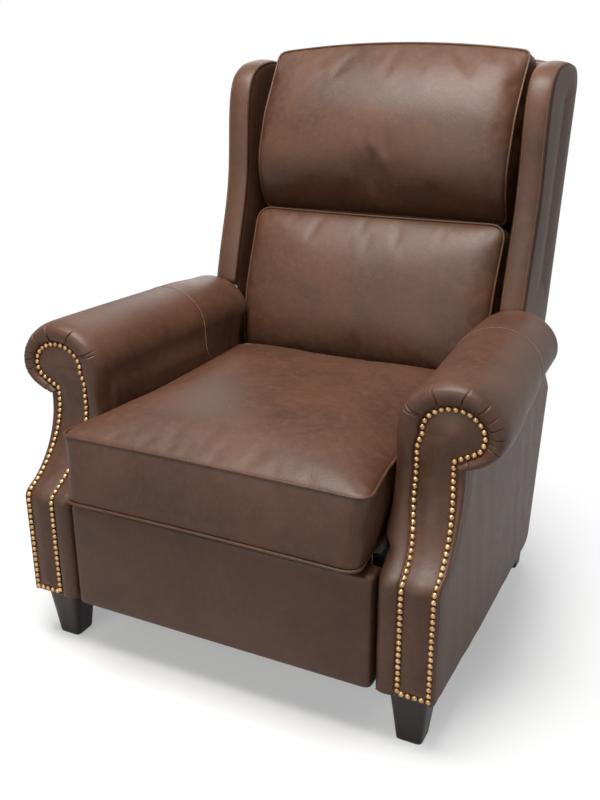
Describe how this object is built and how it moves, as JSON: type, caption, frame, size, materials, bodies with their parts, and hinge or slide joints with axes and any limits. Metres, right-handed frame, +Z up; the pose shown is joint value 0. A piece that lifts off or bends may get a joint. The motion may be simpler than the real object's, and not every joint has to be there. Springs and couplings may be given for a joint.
{
  "type": "wingback recliner",
  "caption": "Leather wingback armchair on tapered legs, with rolled arms, nail trim, loose pillows and a push-back reclining linkage that raises a footrest.",
  "frame": {"origin": "on the floor, under the centre of the closed chair", "axes": "+Z up; the sitter faces -Y; +X is at the left hand of a person who sits in it"},
  "size_m": [0.9252, 0.9648, 1.092],
  "materials": {
    "leather": "semi-gloss, mottled, softly wrinkled",
    "leg_wood": "dark stain, satin lacquer",
    "frame_wood": "raw sawn hardwood and plywood",
    "mechanism_steel": "dark enamel, satin",
    "rivet_steel": "zinc plated",
    "spring_steel": "oiled spring wire",
    "antique_brass": "antique, satin",
    "glide_plastic": "matte",
    "deck_cloth": "woven, matte"
  },
  "bodies": {
    "base": {"front_legs": "leg_wood", "rear_legs": "leg_wood", "leg_glides": "glide_plastic", "base_side_rails": "frame_wood", "base_front_rail": "frame_wood", "base_rear_rail": "frame_wood", "arm_webs": "frame_wood", "arm_front_posts": "frame_wood", "arm_rear_posts": "frame_wood", "arm_top_boards": "frame_wood", "inside_arm_left": "leather", "inside_arm_right": "leather", "outside_arm_left": "leather", "outside_arm_right": "leather", "arm_roll_left": "leather", "arm_roll_right": "leather", "arm_facing_left": "leather", "arm_facing_right": "leather", "nail_heads_left": "antique_brass", "nail_heads_right": "antique_brass", "mechanism_base_plates": "mechanism_steel", "base_pivot_rivets": "rivet_steel", "base_plate_screws": "rivet_steel"},
    "front_swing": {"front_swing_links": "mechanism_steel"},
    "rear_swing": {"rear_swing_links": "mechanism_steel"},
    "seat": {"seat_side_plates": "mechanism_steel", "seat_pivot_rivets": "rivet_steel", "seat_front_rail": "frame_wood", "seat_rear_rail": "frame_wood", "seat_side_rails": "frame_wood", "seat_springs": "spring_steel", "seat_deck": "deck_cloth", "seat_cushion": "leather"},
    "back": {"back_posts": "frame_wood", "back_top_rail": "frame_wood", "back_lower_rail": "frame_wood", "back_springs": "spring_steel", "back_brackets": "mechanism_steel", "back_pivot_rivets": "rivet_steel", "outside_back": "leather", "wing_left": "leather", "wing_right": "leather", "lumbar_cushion": "leather", "head_cushion": "leather"},
    "back_control": {"back_control_links": "mechanism_steel"},
    "footrest_front": {"footrest_front_links": "mechanism_steel", "footrest_link_rivets": "rivet_steel"},
    "footrest_rear": {"footrest_rear_links": "mechanism_steel"},
    "footrest_lower": {"footrest_lower_links": "mechanism_steel", "footrest_lower_rivets": "rivet_steel"},
    "footrest_upper": {"footrest_upper_links": "mechanism_steel"},
    "footrest": {"footrest_brackets": "mechanism_steel", "footrest_bracket_rivets": "rivet_steel", "footrest_board": "frame_wood", "footrest_pad": "leather"}
  },
  "joints": [
    {"name": "recline", "type": "hinge", "parent": "seat", "child": "back", "pos_m": [0, 0.21896, 0.314], "axis": [-1, 0, 0], "range_deg": [0, 32]},
    {"name": "front_swing", "type": "hinge", "parent": "base", "child": "front_swing", "pos_m": [0, -0.25804, 0.165], "axis": [1, 0, 0], "range_deg": [0, 32]},
    {"name": "seat_carry", "type": "hinge", "parent": "front_swing", "child": "seat", "pos_m": [0, -0.22213, 0.26367], "axis": [-1, 0, 0], "range_deg": [0, 32]},
    {"name": "rear_swing", "type": "hinge", "parent": "base", "child": "rear_swing", "pos_m": [0, 0.07196, 0.165], "axis": [1, 0, 0], "range_deg": [0, 32]},
    {"name": "back_control", "type": "hinge", "parent": "base", "child": "back_control", "pos_m": [0, 0.16359, 0.12938], "axis": [1, 0, 0], "range_deg": [0, 26.09]},
    {"name": "footrest_front_link", "type": "hinge", "parent": "seat", "child": "footrest_front", "pos_m": [0, -0.32804, 0.262], "axis": [-1, 0, 0], "range_deg": [0, 105]},
    {"name": "footrest_rear_link", "type": "hinge", "parent": "seat", "child": "footrest_rear", "pos_m": [0, -0.26804, 0.252], "axis": [-1, 0, 0], "range_deg": [0, 105]},
    {"name": "footrest_lower_link", "type": "hinge", "parent": "footrest_front", "child": "footrest_lower", "pos_m": [0, -0.23083, 0.15173], "axis": [1, 0, 0], "range_deg": [0, 105]},
    {"name": "footrest_upper_link", "type": "hinge", "parent": "footrest_front", "child": "footrest_upper", "pos_m": [0, -0.19776, 0.11423], "axis": [1, 0, 0], "range_deg": [0, 105]},
    {"name": "footrest_tilt", "type": "hinge", "parent": "footrest_lower", "child": "footrest", "pos_m": [0, -0.39804, 0.29], "axis": [-1, 0, 0], "range_deg": [0, 105]}
  ],
  "couplings": [
    {"joint": "front_swing", "follows": "recline", "ratio": 1},
    {"joint": "seat_carry", "follows": "recline", "ratio": 1},
    {"joint": "rear_swing", "follows": "recline", "ratio": 1},
    {"joint": "back_control", "follows": "recline", "ratio": 0.81528},
    {"joint": "footrest_front_link", "follows": "recline", "ratio": 3.2812},
    {"joint": "footrest_rear_link", "follows": "recline", "ratio": 3.2812},
    {"joint": "footrest_lower_link", "follows": "recline", "ratio": 3.2812},
    {"joint": "footrest_upper_link", "follows": "recline", "ratio": 3.2812},
    {"joint": "footrest_tilt", "follows": "recline", "ratio": 3.2812}
  ]
}
